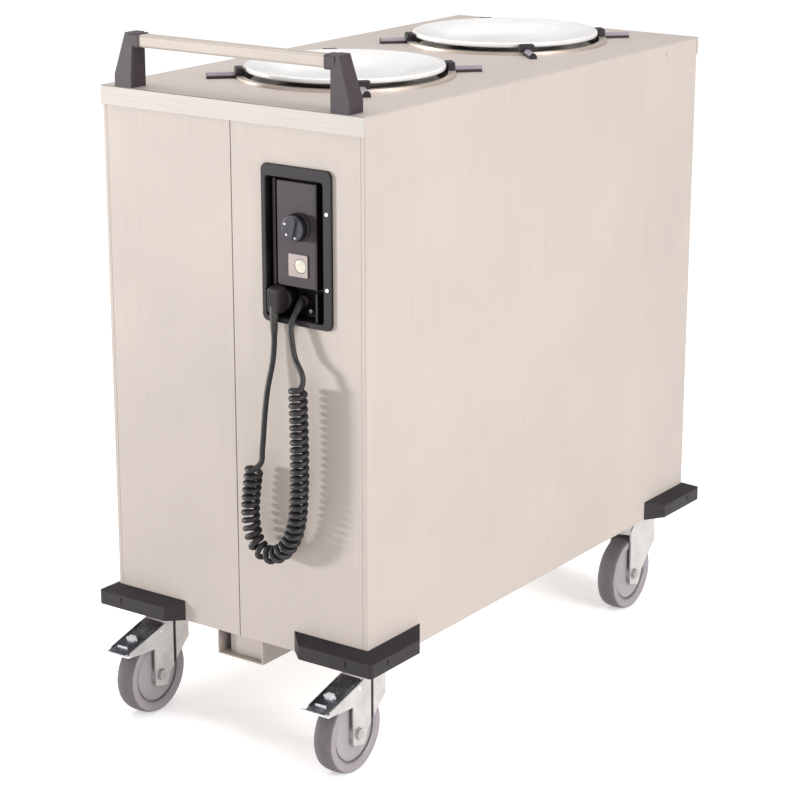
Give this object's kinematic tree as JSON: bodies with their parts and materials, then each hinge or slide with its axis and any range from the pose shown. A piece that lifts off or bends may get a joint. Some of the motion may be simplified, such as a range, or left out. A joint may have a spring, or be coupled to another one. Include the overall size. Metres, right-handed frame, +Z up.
{
  "type": "plate dispenser cart",
  "caption": "Heated two-well plate dispenser cart of stainless sheet with spring-lifted carriers, push bar, recessed controls, curly cord and swivel casters.",
  "frame": {"origin": "on the floor, under the middle of the cabinet", "axes": "+X to the right seen from the front, +Y to the rear, +Z up; the push bar and controls are at -Y"},
  "size_m": [0.5146, 1.0123, 1.046],
  "materials": {
    "stainless": "fine brushed stainless sheet",
    "bright_steel": "bright stainless",
    "spring_steel": "plain steel",
    "zinc_plate": "zinc plated steel",
    "black_plastic": "fine grained moulded plastic",
    "cord_rubber": "smooth black rubber",
    "button_lens": "translucent cream lens",
    "porcelain": "glazed white porcelain",
    "hub_plastic": "grey moulded plastic",
    "tyre_rubber": "grey non-marking rubber"
  },
  "bodies": {
    "cabinet": {"worktop": "stainless", "front_panel_left": "stainless", "front_panel_right": "stainless", "side_panel_left": "stainless", "side_panel_right": "stainless", "rear_panel": "stainless", "base_pan": "stainless", "base_channel": "stainless", "channel_end_plates": "stainless", "corner_bumpers": "black_plastic", "handle_bar": "bright_steel", "handle_bracket_left": "black_plastic", "handle_bracket_right": "black_plastic", "control_housing": "black_plastic", "control_console": "black_plastic", "plug_dock": "black_plastic", "plug": "cord_rubber", "cord_gland": "black_plastic", "cord_lead_in": "cord_rubber", "cord_coil": "cord_rubber", "cord_lead_out": "cord_rubber", "well_liner_front": "bright_steel", "well_liner_rear": "bright_steel", "lift_springs_front": "spring_steel", "lift_springs_rear": "spring_steel", "heating_elements": "spring_steel", "caster_mounts": "zinc_plate", "fasteners": "bright_steel"},
    "knob": {"thermostat_knob": "black_plastic"},
    "button": {"power_button": "button_lens"},
    "lift_front": {"carrier_front": "stainless", "plate_stack_front": "porcelain"},
    "guide_front_1": {"plate_guide_front_1": "black_plastic"},
    "guide_front_2": {"plate_guide_front_2": "black_plastic"},
    "guide_front_3": {"plate_guide_front_3": "black_plastic"},
    "guide_front_4": {"plate_guide_front_4": "black_plastic"},
    "lift_rear": {"carrier_rear": "stainless", "plate_stack_rear": "porcelain"},
    "guide_rear_1": {"plate_guide_rear_1": "black_plastic"},
    "guide_rear_2": {"plate_guide_rear_2": "black_plastic"},
    "guide_rear_3": {"plate_guide_rear_3": "black_plastic"},
    "guide_rear_4": {"plate_guide_rear_4": "black_plastic"},
    "caster_front_left": {"caster_fork_front_left": "zinc_plate", "wheel_axle_front_left": "zinc_plate"},
    "wheel_front_left": {"wheel_hub_front_left": "hub_plastic", "wheel_tyre_front_left": "tyre_rubber"},
    "pedal_front_left": {"brake_pedal_front_left": "black_plastic"},
    "caster_front_right": {"caster_fork_front_right": "zinc_plate", "wheel_axle_front_right": "zinc_plate"},
    "wheel_front_right": {"wheel_hub_front_right": "hub_plastic", "wheel_tyre_front_right": "tyre_rubber"},
    "pedal_front_right": {"brake_pedal_front_right": "black_plastic"},
    "caster_rear_left": {"caster_fork_rear_left": "zinc_plate", "wheel_axle_rear_left": "zinc_plate"},
    "wheel_rear_left": {"wheel_hub_rear_left": "hub_plastic", "wheel_tyre_rear_left": "tyre_rubber"},
    "caster_rear_right": {"caster_fork_rear_right": "zinc_plate", "wheel_axle_rear_right": "zinc_plate"},
    "wheel_rear_right": {"wheel_hub_rear_right": "hub_plastic", "wheel_tyre_rear_right": "tyre_rubber"}
  },
  "joints": [
    {"name": "knob_turn", "type": "hinge", "parent": "cabinet", "child": "knob", "pos_m": [0.119, -0.4625, 0.8035], "axis": [0, 1, 0], "range_deg": [0, 270]},
    {"name": "button_press", "type": "slide", "parent": "cabinet", "child": "button", "axis": [0, 1, 0], "range_m": [0, 0.0025], "stiffness_N_per_m": 400},
    {"name": "lift_front_slide", "type": "slide", "parent": "cabinet", "child": "lift_front", "axis": [0, 0, 1], "range_m": [-0.56, 0], "stiffness_N_per_m": 560, "springref_m": 0.12, "deforming": ["lift_springs_front"]},
    {"name": "guide_front_1_slide", "type": "slide", "parent": "cabinet", "child": "guide_front_1", "axis": [0.7071, 0.7071, 0], "range_m": [0, 0.012]},
    {"name": "guide_front_2_slide", "type": "slide", "parent": "cabinet", "child": "guide_front_2", "axis": [-0.7071, 0.7071, 0], "range_m": [0, 0.012]},
    {"name": "guide_front_3_slide", "type": "slide", "parent": "cabinet", "child": "guide_front_3", "axis": [-0.7071, -0.7071, 0], "range_m": [0, 0.012]},
    {"name": "guide_front_4_slide", "type": "slide", "parent": "cabinet", "child": "guide_front_4", "axis": [0.7071, -0.7071, 0], "range_m": [0, 0.012]},
    {"name": "lift_rear_slide", "type": "slide", "parent": "cabinet", "child": "lift_rear", "axis": [0, 0, 1], "range_m": [-0.56, 0], "stiffness_N_per_m": 560, "springref_m": 0.12, "deforming": ["lift_springs_rear"]},
    {"name": "guide_rear_1_slide", "type": "slide", "parent": "cabinet", "child": "guide_rear_1", "axis": [0.7071, 0.7071, 0], "range_m": [0, 0.012]},
    {"name": "guide_rear_2_slide", "type": "slide", "parent": "cabinet", "child": "guide_rear_2", "axis": [-0.7071, 0.7071, 0], "range_m": [0, 0.012]},
    {"name": "guide_rear_3_slide", "type": "slide", "parent": "cabinet", "child": "guide_rear_3", "axis": [-0.7071, -0.7071, 0], "range_m": [0, 0.012]},
    {"name": "guide_rear_4_slide", "type": "slide", "parent": "cabinet", "child": "guide_rear_4", "axis": [0.7071, -0.7071, 0], "range_m": [0, 0.012]},
    {"name": "swivel_front_left", "type": "hinge", "parent": "cabinet", "child": "caster_front_left", "pos_m": [-0.188, -0.398, 0.16], "axis": [0, 0, 1], "continuous": true},
    {"name": "roll_front_left", "type": "hinge", "parent": "caster_front_left", "child": "wheel_front_left", "pos_m": [-0.188, -0.447, 0.0625], "axis": [1, 0, 0], "continuous": true},
    {"name": "brake_front_left", "type": "hinge", "parent": "caster_front_left", "child": "pedal_front_left", "pos_m": [-0.188, -0.444, 0.132], "axis": [1, 0, 0], "range_deg": [0, 12]},
    {"name": "swivel_front_right", "type": "hinge", "parent": "cabinet", "child": "caster_front_right", "pos_m": [0.188, -0.398, 0.16], "axis": [0, 0, 1], "continuous": true},
    {"name": "roll_front_right", "type": "hinge", "parent": "caster_front_right", "child": "wheel_front_right", "pos_m": [0.188, -0.447, 0.0625], "axis": [1, 0, 0], "continuous": true},
    {"name": "brake_front_right", "type": "hinge", "parent": "caster_front_right", "child": "pedal_front_right", "pos_m": [0.188, -0.444, 0.132], "axis": [1, 0, 0], "range_deg": [0, 12]},
    {"name": "swivel_rear_left", "type": "hinge", "parent": "cabinet", "child": "caster_rear_left", "pos_m": [-0.188, 0.398, 0.16], "axis": [0, 0, 1], "continuous": true},
    {"name": "roll_rear_left", "type": "hinge", "parent": "caster_rear_left", "child": "wheel_rear_left", "pos_m": [-0.188, 0.349, 0.0625], "axis": [1, 0, 0], "continuous": true},
    {"name": "swivel_rear_right", "type": "hinge", "parent": "cabinet", "child": "caster_rear_right", "pos_m": [0.188, 0.398, 0.16], "axis": [0, 0, 1], "continuous": true},
    {"name": "roll_rear_right", "type": "hinge", "parent": "caster_rear_right", "child": "wheel_rear_right", "pos_m": [0.188, 0.349, 0.0625], "axis": [1, 0, 0], "continuous": true}
  ]
}
